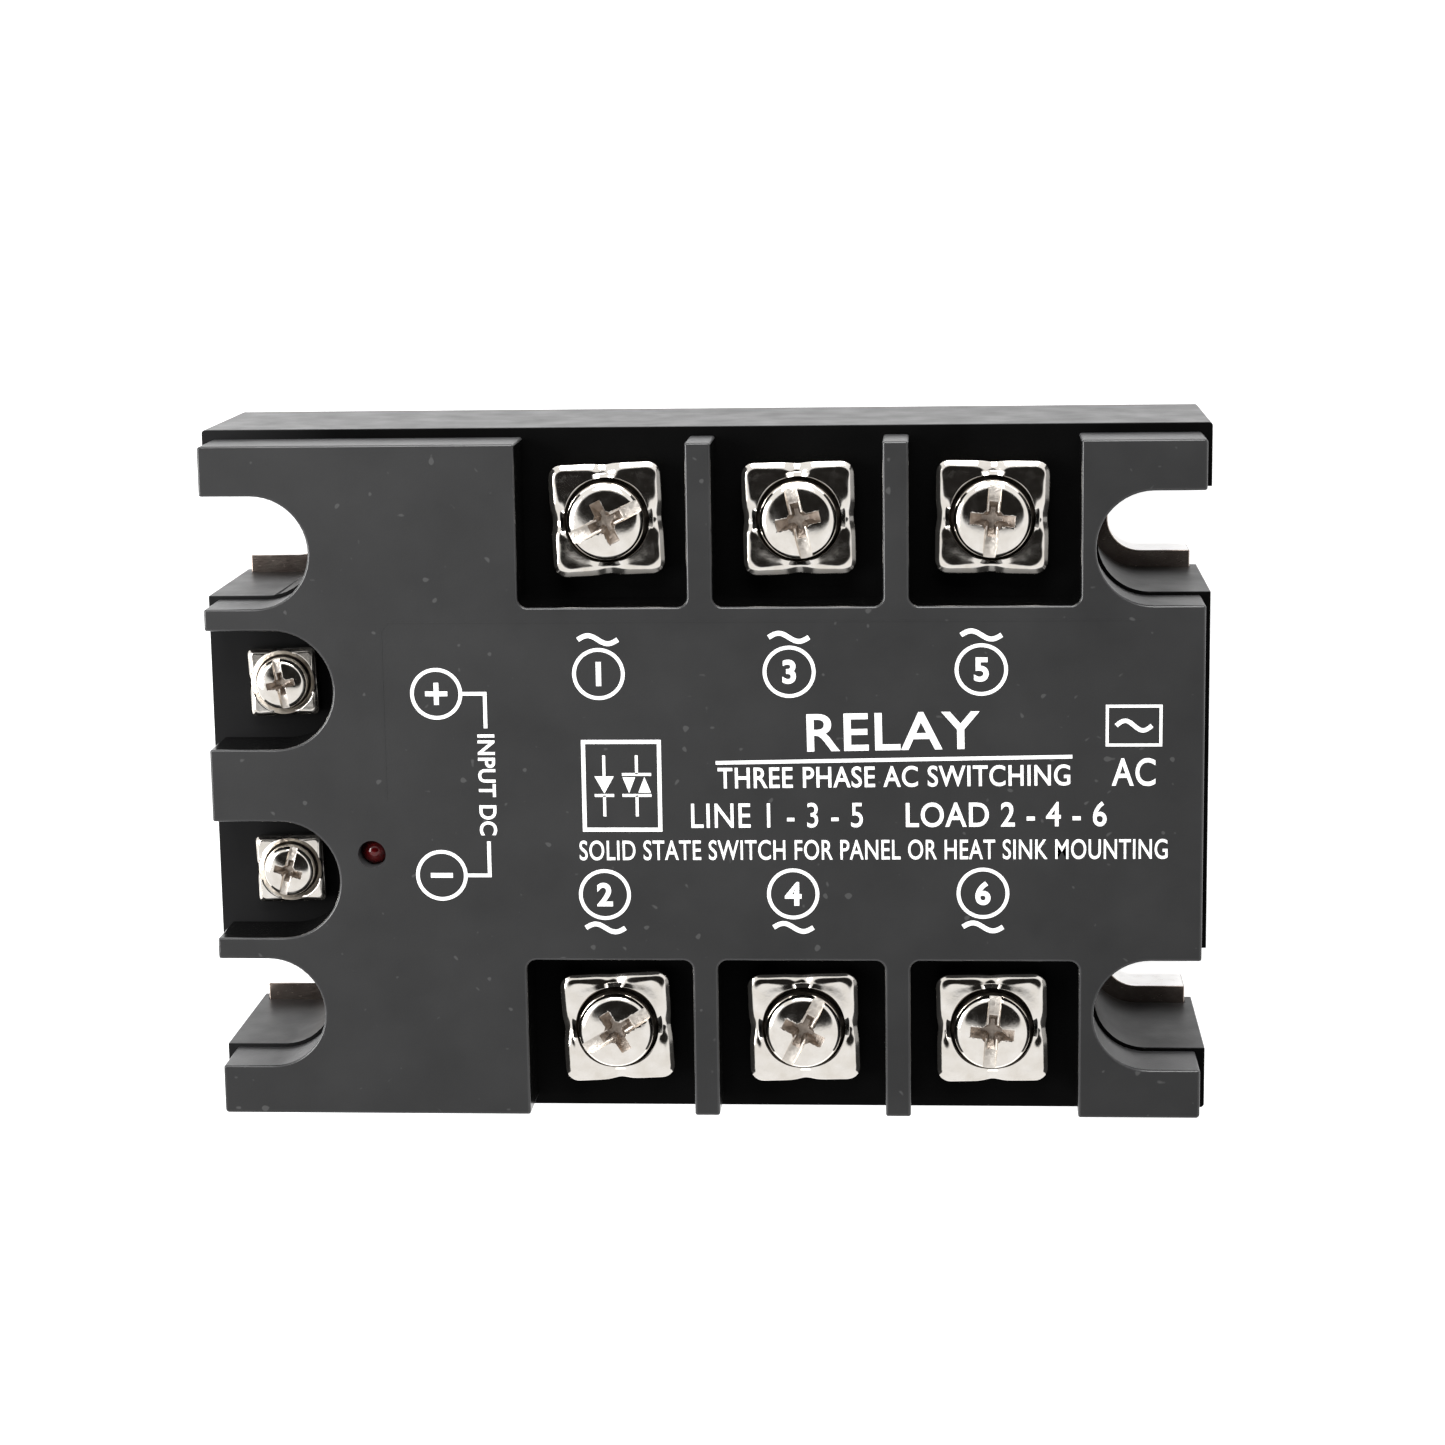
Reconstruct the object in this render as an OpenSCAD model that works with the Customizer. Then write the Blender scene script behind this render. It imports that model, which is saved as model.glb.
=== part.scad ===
// Three-phase solid state relay for panel mounting.
// The relay lies on its metal base plate. Z = 0 is the mounting face, +Z points out of the front
// cover, +X runs along the rows of terminals and +Y points to the line side (terminals 1, 3, 5).
// The origin is the centre of the mounting face.

/* [Body] */
// Length of the housing along X
body_w = 104; // [102:0.5:108]
// Width of the housing along Y
body_d = 72.4; // [71:0.2:76]
// Height from the mounting face to the front of the cover
total_h = 29.5; // [29:0.5:31]
// Height of the front cover above the housing
cover_h = 7; // [6.5:0.25:7.5]
// Width of the open ledge between cover and housing edge
ledge = 1; // [0.6:0.1:1.4]
// Wall thickness of the moulded parts
wall = 1.6; // [1.4:0.1:1.8]
// Radius of the upright corners
corner_r = 0.4; // [0.3:0.1:1.6]

/* [Mounting] */
// Distance between the mounting slots along X
slot_dx = 91.6; // [90.6:0.2:92]
// Distance between the mounting slots along Y
slot_dy = 48.5; // [47.5:0.5:49.5]
// Width of each mounting slot in the base plate
slot_w = 7; // [5:0.5:7.5]
// Radius of the notch in the cover over each slot
notch_r = 5.8; // [5.6:0.1:6]
// Thickness of the base plate
plate_t = 5; // [4:0.25:5.5]
// Height of the housing's lower edge above the mounting face
skirt_z = 2.5; // [1.5:0.25:3]

/* [Power terminals] */
// Distance between two power screws along X
pitch = 19.7; // [19.5:0.1:19.9]
// X of the middle phase
mid_x = 9.95; // [9.5:0.05:10.3]
// Distance between two power pockets along X
pocket_pitch = 19.9; // [19.7:0.1:20]
// Distance from the centre line to a power screw
power_y = 26.9; // [26.4:0.1:27.3]
// Width of a power pocket
pocket_w = 17.3; // [16.8:0.1:17.5]
// Distance from the centre line to a power pocket
pocket_y = 18.5; // [18.2:0.1:18.8]
// Turn of each power screw's drive slot, terminals 1 to 6
power_turns = [26, 31, 103, 63, 85, 85];

/* [Input terminals] */
// X of the input screws
input_x = -44.1; // [-44.4:0.1:-43.8]
// Distance from the centre line to an input screw
input_y = 10; // [9.8:0.1:10.2]
// Radius of an input pocket
input_pocket_r = 6.2; // [6:0.1:6.3]
// Turn of each input screw's drive slot, plus and minus
input_turns = [100, 75];

/* [Indicator] */
// X of the indicator lamp
led_x = -34.45; // [-34.6:0.05:-34.2]
// Y of the indicator lamp
led_y = -7.25; // [-7.5:0.05:-7]
// Diameter of the lamp's window in the cover
led_window_d = 2.9; // [2.8:0.05:3]

/* [Hidden] */
$fn = 64;
eps = 0.01;

// Heights
ledge_z = total_h - cover_h;            // top of the housing
deck_t = 2.6;                           // floor of the pockets
deck_z = ledge_z - deck_t;              // underside of that floor
cover_skin = 2;                         // front wall of the cover
skin_z = total_h - cover_skin;          // inside face of the front wall
board_z = 14;                           // underside of the control board
board_t = 1.6;
board_top = board_z + board_t;
potting_z = 11;                         // top of the potting
ceramic_t = 0.6;
copper_t = 0.3;
chip_t = 0.4;
pad_z = plate_t + ceramic_t;            // underside of the copper pads
chip_z = pad_z + copper_t;              // underside of the thyristor chips

// Plan sizes
cover_w = body_w - 2 * ledge;
cover_d = body_d - 2 * ledge;
base_gap = 0.1;                         // between base plate and housing skirt
skirt_t = 0.8;
plate_w = body_w - 2 * (skirt_t + base_gap);
plate_d = body_d - 2 * (skirt_t + base_gap);
housing_notch_r = notch_r - 0.4;
window_x0 = -36.6;                      // opening in the housing's deck, over the board
window_x1 = 38.2;
window_y = 16.8;
board_x0 = -36;
board_x1 = 37.6;
board_y = 14.5;

// Clamping hardware, power then input
phases = [for (i = [-1:1]) mid_x + i * pitch];
pocket_xs = [for (i = [-1:1]) mid_x + i * pocket_pitch];
power_at = [for (x = phases, side = [1, -1]) [x, side * power_y]];
input_at = [for (side = [1, -1]) [input_x, side * input_y]];
contact_gap = 0.05;                     // between parts that move on each other
bar_t = 1;
bar_w = 10.2;
bar_leg_w = 6;
bar_y0 = power_y - bar_w / 2;           // inner face of a terminal bar's leg
tab_t = 0.5;
tab_w = 6.6;
tab_x0 = -47.5;
tab_x1 = -40.75;
tab_leg_w = 2.4;
tab_leg_x = -41.25;                     // leg through the housing's deck
tab_foot_x = -35.8;                     // foot in the control board
tab_step_z = 17.4;                      // underside of the run between leg and foot
tab_leg_y = 10.7;
//             plate,  plate_t, corner, shank r, hole r, head r, head h, slot, screw length
POWER = [11.6, 1.2, 1.4, 1.96, 2.04, 3.95, 2.5, 1.3, 9];
INPUT = [7.1, 0.9, 0.5, 1.46, 1.54, 2.65, 1.9, 0.8, 7];
power_nut = [7, 2.2];
input_nut = [5.5, 1.8];
nut_gap = 0.1;
slit_gap = 0.1;
well_z = 13.9;                          // bottom of the screw wells
power_well_r = 3.9;
input_well_r = 2.6;

// Base screws, driven in from below
base_screws_at = [[-28, 28], [-28, -28], [45.5, 8], [45.5, -8]];
base_boss_r = 3;
base_screw_r = 1.25;
base_pilot_r = 1.3;
base_head_r = 2.6;
base_head_h = 1.4;
base_head_z = 0.2;
base_screw_l = 13;

// Snap hooks that hold the cover
hook_xs = [-24, mid_x + pitch / 2];
hook_w = 5;
hook_t = 1.1;
hook_catch = 0.7;

// Electronics
pad_y0 = 0.8;                           // copper pads, from the centre line outwards
pad_y1 = bar_y0 + bar_t + 0.4;
substrate_y = pad_y1 + 0.6;
chip_w = 8;
chip_y = 5;
gate_dx = -2.5;
gate_y = 6.2;
gate_r = 0.4;
standoffs_at = [[-33, 12.4], [-33, -12.4], [mid_x + pitch / 2, 12.4], [mid_x + pitch / 2, -12.4]];
standoff_r = 1.8;
led_r = 1.5;
led_base_z = ledge_z + 1.2;
led_dome_z = skin_z - 0.5;
led_pin_dy = 1.27;

// ---------- shared shapes ----------

// Flat rectangle with round corners, centred
module round_rect(w, d, r) {
    square([w - 2 * r, d], center = true);
    square([w, d - 2 * r], center = true);
    for (x = [-1, 1], y = [-1, 1])
        translate([x * (w / 2 - r), y * (d / 2 - r)])
            circle(r);
}

// The four open-ended notches over the mounting slots
module corner_notches(r) {
    for (side = [-1, 1], end = [-1, 1])
        translate([side * slot_dx / 2, end * slot_dy / 2]) {
            circle(r);
            translate([side > 0 ? 0 : -body_w / 4, -r])
                square([body_w / 4, 2 * r]);
        }
}

// One power pocket in plan, open outwards; grow thickens it for the wall round it
module power_pocket(x, side, grow) {
    r = 1 + grow;
    half = pocket_w / 2 + grow;
    y0 = pocket_y - grow;
    y1 = body_d / 2 + 1;
    translate([x, 0]) mirror([0, side > 0 ? 0 : 1]) {
        translate([-half, y0 + r])
            square([2 * half, y1 - y0 - r]);
        translate([-half + r, y0])
            square([2 * (half - r), r + eps]);
        for (dx = [-1, 1])
            translate([dx * (half - r), y0 + r])
                circle(r);
    }
}

module power_pockets(grow = 0) {
    for (x = pocket_xs, side = [-1, 1])
        power_pocket(x, side, grow);
}

// The two input pockets in plan, open to the short side of the relay
module input_pockets(grow = 0) {
    r = input_pocket_r + grow;
    for (p = input_at)
        translate(p) {
            circle(r);
            translate([-body_w / 4, -r])
                square([body_w / 4, 2 * r]);
        }
}

module at_each(points) {
    for (p = points)
        translate(p)
            children();
}

// Room inside the housing, in plan
module cavity_outline() {
    difference() {
        round_rect(body_w - 2 * wall, body_d - 2 * wall, corner_r);
        corner_notches(housing_notch_r + wall);
        at_each(base_screws_at)
            circle(base_boss_r);
    }
}

// ---------- metal base ----------

module base_plate() {
    color("#a9a49c")
    difference() {
        linear_extrude(plate_t)
            round_rect(plate_w, plate_d, corner_r);
        translate([0, 0, -1])
            linear_extrude(plate_t + 2)
                corner_notches(slot_w / 2);
        at_each(base_screws_at) {
            translate([0, 0, -1])
                cylinder(h = plate_t + 2, r = base_screw_r + 0.3);
            translate([0, 0, base_head_z])
                cylinder(h = base_head_h, r1 = base_head_r + 0.1, r2 = base_screw_r + 0.3);
            translate([0, 0, -1])
                cylinder(h = 1 + base_head_z + eps, r = base_head_r + 0.1);
        }
    }
}

module base_screws() {
    color("#8c8c8e")
    at_each(base_screws_at)
        translate([0, 0, base_head_z])
            difference() {
                union() {
                    cylinder(h = base_head_h, r1 = base_head_r, r2 = base_screw_r);
                    cylinder(h = base_screw_l, r = base_screw_r);
                }
                for (a = [0, 90])
                    rotate(a)
                        translate([-1.4, -0.3, -1])
                            cube([2.8, 0.6, 1.9]);
            }
}

// ---------- moulded parts ----------

module housing() {
    color("#1c1c1d")
    difference() {
        translate([0, 0, skirt_z])
            linear_extrude(ledge_z - skirt_z)
                difference() {
                    round_rect(body_w, body_d, corner_r);
                    corner_notches(housing_notch_r);
                }
        // recess for the base plate
        translate([0, 0, skirt_z - 1])
            linear_extrude(plate_t - skirt_z + 1)
                round_rect(body_w - 2 * skirt_t, body_d - 2 * skirt_t, corner_r);
        // hollow for the electronics, with the screw wells left standing
        difference() {
            translate([0, 0, plate_t - eps])
                linear_extrude(deck_z - plate_t + eps)
                    cavity_outline();
            translate([0, 0, well_z]) {
                at_each(power_at)
                    cylinder(h = deck_z, r = power_well_r);
                at_each(input_at)
                    cylinder(h = deck_z, r = input_well_r);
            }
        }
        // window over the control board
        translate([window_x0, -window_y, deck_z - 1])
            cube([window_x1 - window_x0, 2 * window_y, deck_t + 2]);
        // nut pockets and screw wells
        at_each(power_at)
            nut_and_well(power_nut, POWER[4] + 0.3);
        at_each(input_at)
            nut_and_well(input_nut, INPUT[4] + 0.3);
        // slits for the legs of the terminals
        for (x = phases, side = [0, 1])
            mirror([0, side])
                translate([x - bar_leg_w / 2 - slit_gap, bar_y0 - slit_gap, deck_z - 1])
                    cube([bar_leg_w + 2 * slit_gap, bar_t + 2 * slit_gap, deck_t + 2]);
        for (side = [0, 1])
            mirror([0, side])
                translate([tab_leg_x - slit_gap, tab_leg_y - tab_leg_w / 2 - slit_gap, deck_z - 1])
                    cube([tab_t + 2 * slit_gap, tab_leg_w + 2 * slit_gap, deck_t + 2]);
        // pilot holes for the base screws
        at_each(base_screws_at)
            translate([0, 0, skirt_z])
                cylinder(h = base_screw_l, r = base_pilot_r);
    }
}

module nut_and_well(nut, r) {
    w = nut[0] + 2 * nut_gap;
    translate([-w / 2, -w / 2, ledge_z - nut[1]])
        cube([w, w, nut[1] + 1]);
    translate([0, 0, well_z + 1])
        cylinder(h = ledge_z - well_z, r = r);
}

module front_cover() {
    color("#3e3e40") {
        difference() {
            translate([0, 0, ledge_z])
                linear_extrude(cover_h)
                    difference() {
                        round_rect(cover_w, cover_d, corner_r);
                        corner_notches(notch_r);
                        power_pockets();
                        input_pockets();
                    }
            // hollow behind the front wall
            translate([0, 0, ledge_z - 1])
                linear_extrude(skin_z - ledge_z + 1)
                    difference() {
                        square([cover_w - 2 * wall, cover_d - 2 * wall], center = true);
                        corner_notches(notch_r + wall);
                        power_pockets(wall);
                        input_pockets(wall);
                    }
            translate([led_x, led_y, skin_z - 1])
                cylinder(h = cover_skin + 2, d = led_window_d);
        }
        for (x = hook_xs, side = [0, 1])
            mirror([0, side])
                snap_hook(x);
    }
}

// One springy leg that reaches down through the window and catches under the deck
module snap_hook(x) {
    translate([x - hook_w / 2, window_y - 0.1 - hook_t, deck_z - 2])
        cube([hook_w, hook_t, skin_z - deck_z + 2 + eps]);
    translate([x - hook_w / 2, window_y - 0.2, deck_z - 1.6])
        cube([hook_w, hook_catch + 0.1, 1.5]);
}

// ---------- terminals ----------

// Square pad under one power screw, with a narrower leg through the deck to its copper pad
module terminal_bar(i) {
    side = power_at[i][1] > 0 ? 0 : 1;
    color("#c9b27a")
    translate([power_at[i][0], 0, 0])
        mirror([0, side]) {
            difference() {
                translate([-bar_w / 2, bar_y0, ledge_z])
                    cube([bar_w, bar_w, bar_t]);
                translate([0, power_y, ledge_z - 1])
                    cylinder(h = bar_t + 2, r = POWER[4] + 0.26);
            }
            translate([-bar_leg_w / 2, bar_y0, chip_z])
                cube([bar_leg_w, bar_t, ledge_z - chip_z + eps]);
        }
}

// Flat tab under one input screw. Its leg goes through the housing's deck, steps over to the control
// board and ends in a foot through the board.
module input_tab(i) {
    side = input_at[i][1] > 0 ? 0 : 1;
    color("#c9b27a")
    mirror([0, side]) {
        difference() {
            translate([tab_x0, input_y - tab_w / 2, ledge_z])
                cube([tab_x1 - tab_x0, tab_w, tab_t]);
            translate([input_x, input_y, ledge_z - 1])
                cylinder(h = tab_t + 2, r = INPUT[4] + 0.26);
        }
        translate([0, tab_leg_y - tab_leg_w / 2, 0]) {
            translate([tab_leg_x, 0, tab_step_z])
                cube([tab_t, tab_leg_w, ledge_z + tab_t - tab_step_z]);
            translate([tab_leg_x, 0, tab_step_z])
                cube([tab_foot_x + tab_t - tab_leg_x, tab_leg_w, tab_t]);
            translate([tab_foot_x, 0, board_z - 1.2])
                cube([tab_t, tab_leg_w, tab_step_z - board_z + 1.2 + eps]);
        }
    }
}

// Square nuts held in the housing under the terminals
module nuts(points, nut, hole_r) {
    color("#b4b4b6")
    at_each(points)
        translate([0, 0, ledge_z - nut[1]])
            difference() {
                linear_extrude(nut[1])
                    square(nut[0], center = true);
                translate([0, 0, -1])
                    cylinder(h = nut[1] + 2, r = hole_r);
            }
}

// Square clamping plate under a screw head, dished down round the head
module pressure_plate(at, kind, z) {
    w = kind[0];
    rim = 0.45;
    color("#d8d4ce")
    translate([at[0], at[1], z])
        difference() {
            linear_extrude(kind[1] + rim)
                round_rect(w, w, kind[2]);
            translate([0, 0, kind[1]])
                cylinder(h = rim + 1, r = kind[5] + 0.3);
            translate([0, 0, -1])
                cylinder(h = kind[1] + 3, r = kind[4]);
        }
}

// Domed screw with a cross recess and one slot right across
module terminal_screw(at, kind, z, turn) {
    head_r = kind[5];
    head_h = kind[6];
    slot_wide = kind[7];
    edge_h = 0.55 * head_h;
    dome_r = (pow(head_r, 2) + pow(head_h - edge_h, 2)) / (2 * (head_h - edge_h));
    dome_a = asin(head_r / dome_r);
    color("#dcdad6")
    translate([at[0], at[1], z])
        rotate(turn)
            difference() {
                union() {
                    rotate_extrude()
                        polygon(concat([[0, 0], [head_r, 0]],
                            [for (k = [6:-1:0]) [dome_r * sin(dome_a * k / 6),
                                head_h - dome_r * (1 - cos(dome_a * k / 6))]]));
                    translate([0, 0, -kind[8]])
                        cylinder(h = kind[8] + eps, r = kind[3]);
                }
                translate([-head_r - 1, -slot_wide / 2, head_h - 1.1])
                    cube([2 * head_r + 2, slot_wide, 2]);
                for (a = [0, 90])
                    rotate(a)
                        translate([-0.58 * head_r, -slot_wide * 0.45, head_h - 1.6])
                            cube([1.16 * head_r, slot_wide * 0.9, 2]);
            }
}

power_plate_z = ledge_z + bar_t + contact_gap;
input_plate_z = ledge_z + tab_t + contact_gap;
power_head_z = power_plate_z + POWER[1] + contact_gap;
input_head_z = input_plate_z + INPUT[1] + contact_gap;

// ---------- power stage on the base plate ----------

module ceramic_substrate(i) {
    color("#ece8e0")
    translate([phases[i] - 7, -substrate_y, plate_t])
        cube([14, 2 * substrate_y, ceramic_t]);
}

module copper_pads(i) {
    color("#c47b4a")
    for (side = [-1, 1])
        translate([phases[i] - 6, side > 0 ? pad_y0 : -pad_y1, pad_z])
            cube([12, pad_y1 - pad_y0, copper_t]);
}

module thyristor_chips(i) {
    color("#5b5f66")
    for (side = [-1, 1])
        translate([phases[i] - chip_w / 2, side * chip_y - chip_w / 2, chip_z])
            cube([chip_w, chip_w, chip_t]);
}

// Two upright wires a phase, from the chips to the board
module gate_wires(grow = 0) {
    color("#c47b4a")
    for (x = phases, side = [-1, 1])
        translate([x + gate_dx, side * gate_y, chip_z + chip_t])
            cylinder(h = board_top + 0.6 - chip_z - chip_t, r = gate_r + grow, $fn = 24);
}

module potting() {
    color("#3a3532")
    difference() {
        translate([0, 0, plate_t])
            linear_extrude(potting_z - plate_t)
                cavity_outline();
        for (i = [0:2]) {
            ceramic_substrate(i);
            copper_pads(i);
            thyristor_chips(i);
        }
        for (i = [0:5])
            terminal_bar(i);
        gate_wires();
        board_standoffs();
    }
}

// ---------- control board ----------

module board_standoffs() {
    color("#d9d2bd")
    at_each(standoffs_at)
        translate([0, 0, plate_t])
            cylinder(h = board_z - plate_t, r = standoff_r);
}

module control_board() {
    color("#2f6b45")
    difference() {
        translate([board_x0, -board_y, board_z])
            cube([board_x1 - board_x0, 2 * board_y, board_t]);
        gate_wires(0.1);
        for (side = [0, 1])
            mirror([0, side])
                translate([tab_foot_x - 0.1, tab_leg_y - tab_leg_w / 2 - 0.1, board_z - 1])
                    cube([tab_t + 0.2, tab_leg_w + 0.2, board_t + 2]);
        led_pins(0.35);
        for (x = phases, dx = [-1, 1])
            translate([x + dx * resistor_pin, resistor_y, board_z - 1])
                cylinder(h = board_t + 2, r = 0.45, $fn = 24);
    }
}

module led_pins(half) {
    for (dy = [-1, 1])
        translate([led_x - half, led_y + dy * led_pin_dy - half, board_z - 1.2])
            cube([2 * half, 2 * half, led_base_z - board_z + 1.2]);
}

module indicator_leads() {
    color("#c9c9cb")
    led_pins(0.25);
}

module indicator_led() {
    color("#7a1210")
    translate([led_x, led_y, led_base_z]) {
        cylinder(h = 1, r = led_r + 0.4);
        cylinder(h = led_dome_z - led_base_z, r = led_r);
        translate([0, 0, led_dome_z - led_base_z])
            rotate_extrude()
                intersection() {
                    circle(led_r);
                    square(led_r);
                }
    }
}

module optocoupler(i) {
    color("#e6e4dd")
    translate([phases[i], 0, board_top]) {
        translate([-4.3, -3.2, 0.3])
            cube([8.6, 6.4, 3.2]);
        for (dx = [-2.54, 0, 2.54], side = [0, 1])
            mirror([0, side]) {
                translate([dx - 0.4, 3.2, 0])
                    cube([0.8, 1.2, 0.3]);
                translate([dx - 0.4, 3.2, 0.3])
                    cube([0.8, 0.3, 1.5]);
            }
    }
}

module snubber_capacitor(i) {
    color("#2b5fa8")
    translate([phases[i] - 6.5, 7.4, board_top])
        cube([13, 5.2, 9]);
}

resistor_pin = 6;
resistor_y = -10;
resistor_r = 1.7;
module snubber_resistor(i) {
    pin_r = 0.35;
    axis_z = board_top + resistor_r + 0.4;
    color("#8c8f77")
    translate([phases[i], resistor_y, 0]) {
        translate([0, 0, axis_z])
            rotate([0, 90, 0]) {
                cylinder(h = 9, r = resistor_r, center = true, $fn = 48);
                cylinder(h = 2 * resistor_pin, r = pin_r, center = true, $fn = 24);
            }
        for (dx = [-1, 1])
            translate([dx * resistor_pin, 0, board_z - 1.2])
                cylinder(h = axis_z - board_z + 1.2 + pin_r, r = pin_r, $fn = 24);
    }
}

module gate_resistors() {
    color("#22221f")
    for (x = phases, side = [-1, 1])
        translate([x + 2.6, side * gate_y - 0.6, board_top])
            cube([3.2, 1.2, 0.6]);
}

module input_transistor() {
    color("#1d1d1f")
    translate([-21.5, 3, board_top]) {
        intersection() {
            cylinder(h = 4.6, r = 2.4);
            translate([-3, -1.4, 0])
                cube([6, 4, 4.6]);
        }
    }
}

module input_resistors() {
    color("#22221f")
    for (k = [0:2])
        translate([-30.5 + 2.4 * k, -0.6, board_top])
            cube([1.2, 3.2, 0.6]);
}

module reverse_diode() {
    color("#1d1d1f")
    translate([-30.6, 5.4, board_top])
        cube([4.4, 2.6, 2.1]);
}

// ---------- the assembly ----------

base_plate();
base_screws();
housing();
front_cover();
nuts(power_at, power_nut, POWER[4]);  // power_nuts
nuts(input_at, input_nut, INPUT[4]);  // input_nuts
for (i = [0:5]) {
    terminal_bar(i);
    pressure_plate(power_at[i], POWER, power_plate_z);
    terminal_screw(power_at[i], POWER, power_head_z, power_turns[i]);
}
for (i = [0:1]) {
    name = ["plus", "minus"][i];
    input_tab(i);
    pressure_plate(input_at[i], INPUT, input_plate_z);
    terminal_screw(input_at[i], INPUT, input_head_z, input_turns[i]);
}
for (i = [0:2]) {
    ceramic_substrate(i);
    copper_pads(i);
    thyristor_chips(i);
    optocoupler(i);
    snubber_capacitor(i);
    snubber_resistor(i);
}
gate_wires();
gate_resistors();
control_board();
board_standoffs();
input_transistor();
input_resistors();
reverse_diode();
indicator_led();
indicator_leads();
potting();
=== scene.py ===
import math

import bmesh
import bpy
from mathutils import Matrix, Vector

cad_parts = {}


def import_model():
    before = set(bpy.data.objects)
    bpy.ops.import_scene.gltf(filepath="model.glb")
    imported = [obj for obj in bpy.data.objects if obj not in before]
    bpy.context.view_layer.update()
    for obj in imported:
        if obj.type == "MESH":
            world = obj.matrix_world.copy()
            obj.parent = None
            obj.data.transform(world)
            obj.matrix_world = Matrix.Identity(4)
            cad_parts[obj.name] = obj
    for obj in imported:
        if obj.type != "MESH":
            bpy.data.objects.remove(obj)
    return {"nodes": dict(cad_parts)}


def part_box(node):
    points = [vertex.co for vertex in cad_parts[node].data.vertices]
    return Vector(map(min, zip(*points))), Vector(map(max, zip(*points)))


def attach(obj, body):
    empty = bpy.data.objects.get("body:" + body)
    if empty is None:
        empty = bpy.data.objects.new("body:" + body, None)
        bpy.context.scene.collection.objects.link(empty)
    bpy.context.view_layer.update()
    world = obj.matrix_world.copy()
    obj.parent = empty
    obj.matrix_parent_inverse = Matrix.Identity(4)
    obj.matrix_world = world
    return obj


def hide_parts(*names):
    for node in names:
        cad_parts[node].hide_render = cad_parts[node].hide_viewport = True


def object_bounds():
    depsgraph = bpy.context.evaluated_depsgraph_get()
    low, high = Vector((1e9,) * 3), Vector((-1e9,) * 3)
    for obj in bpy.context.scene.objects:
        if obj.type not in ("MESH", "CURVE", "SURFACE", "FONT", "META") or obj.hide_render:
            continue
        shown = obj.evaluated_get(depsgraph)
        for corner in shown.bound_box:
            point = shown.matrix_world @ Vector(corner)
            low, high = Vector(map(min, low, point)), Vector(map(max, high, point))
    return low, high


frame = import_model()
cad_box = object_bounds()

MM = 0.001
NOISE_RANGE = (0.3, 0.7)    # where most of a noise texture's values lie
WALL_SHARE = 0.6            # height of a screw head's upright wall, as a share of the head
HEAD_POINTS = 72            # points round a screw
scene = bpy.context.scene
POWER = ("1", "2", "3", "4", "5", "6")
INPUT = ("plus", "minus")


# ---------- helpers for meshes ----------

def add_piece(name, mesh):
    piece = bpy.data.objects.new(name, mesh)
    scene.collection.objects.link(piece)
    return piece


def finished(piece, material, body):
    """Gives a piece its material, unless it has one already, and its body."""
    if not piece.data.materials:
        piece.data.materials.append(material)
    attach(piece, body)
    return piece


def shade(mesh, sharp_degrees=35):
    """Smooth shading with edges over the angle kept sharp."""
    mesh.polygons.foreach_set("use_smooth", [True] * len(mesh.polygons))
    mesh.set_sharp_from_angle(angle=math.radians(sharp_degrees))


def weight_normals(piece):
    """Keeps large flat faces flat beside small rounded ones."""
    piece.modifiers.new("normals", "WEIGHTED_NORMAL").keep_sharp = True


def to_mesh(bm, name):
    bmesh.ops.recalc_face_normals(bm, faces=bm.faces)
    mesh = bpy.data.meshes.new(name)
    bm.to_mesh(mesh)
    bm.free()
    return mesh


def skin(rings, name):
    """A closed mesh over rings with equal numbers of points, capped at both ends."""
    bm = bmesh.new()
    rows = [[bm.verts.new(p) for p in ring] for ring in rings]
    count = len(rows[0])
    for a, b in zip(rows, rows[1:]):
        for j in range(count):
            k = (j + 1) % count
            bm.faces.new((a[j], a[k], b[k], b[j]))
    bm.faces.new(reversed(rows[0]))
    bm.faces.new(rows[-1])
    return to_mesh(bm, name)


def circle(radius, count):
    """Points round a circle about the origin."""
    step = 2 * math.pi / count
    return [(radius * math.cos(step * k), radius * math.sin(step * k)) for k in range(count)]


def round_ring(radius, z, count, centre=(0, 0)):
    """A level ring of points for skin()."""
    return [Vector((centre[0] + x, centre[1] + y, z)) for x, y in circle(radius, count)]


def applied(piece):
    """The piece's mesh with its modifiers applied."""
    graph = bpy.context.evaluated_depsgraph_get()
    mesh = bpy.data.meshes.new_from_object(piece.evaluated_get(graph))
    piece.modifiers.clear()
    piece.data = mesh
    return mesh


def node_centre(node):
    low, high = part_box(node)
    return (low + high) / 2


# ---------- helpers for materials ----------

def new_material(name, color, roughness, metallic=0.0, specular=0.5):
    material = bpy.data.materials.new(name)
    material.use_nodes = True
    shader = material.node_tree.nodes["Principled BSDF"]
    shader.inputs["Base Color"].default_value = (*color, 1)
    shader.inputs["Roughness"].default_value = roughness
    shader.inputs["Metallic"].default_value = metallic
    shader.inputs["Specular IOR Level"].default_value = specular
    return material


def grain(material, size_mm, detail=3.0, stretch=(1, 1, 1)):
    """Noise in the piece's own space, with grains of about this size."""
    tree = material.node_tree
    place = tree.nodes.new("ShaderNodeTexCoord")
    scale = tree.nodes.new("ShaderNodeMapping")
    scale.inputs["Scale"].default_value = stretch
    noise = tree.nodes.new("ShaderNodeTexNoise")
    noise.inputs["Scale"].default_value = 1 / (size_mm * MM)
    noise.inputs["Detail"].default_value = detail
    tree.links.new(place.outputs["Object"], scale.inputs["Vector"])
    tree.links.new(scale.outputs["Vector"], noise.inputs["Vector"])
    return noise.outputs["Fac"]


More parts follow.
